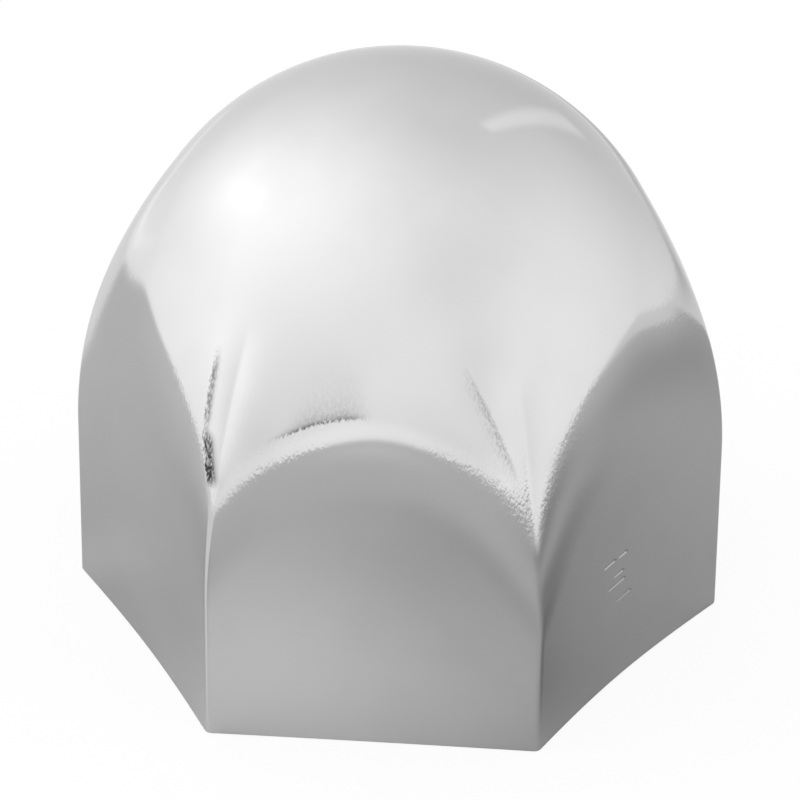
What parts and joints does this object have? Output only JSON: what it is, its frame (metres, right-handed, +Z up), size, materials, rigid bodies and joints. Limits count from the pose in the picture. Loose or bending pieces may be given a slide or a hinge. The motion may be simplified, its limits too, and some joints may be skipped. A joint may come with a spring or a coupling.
{
  "type": "lug nut cover",
  "caption": "Push-on chrome cover for a hexagonal wheel nut: a thin hexagonal skirt, open underneath, that rounds off into a spherical crown.",
  "frame": {"origin": "centre of the open mouth, in the plane of the rim", "axes": "+Z up along the axis from the mouth to the crown, +Y square to one pair of flats, +X through two opposite upright edges"},
  "size_m": [0.046, 0.04, 0.0415],
  "materials": {
    "chrome_plate": "bright chrome plate on pressed steel, polished outside, duller inside"
  },
  "bodies": {
    "root": {"cover_shell": "chrome_plate"}
  },
  "joints": []
}
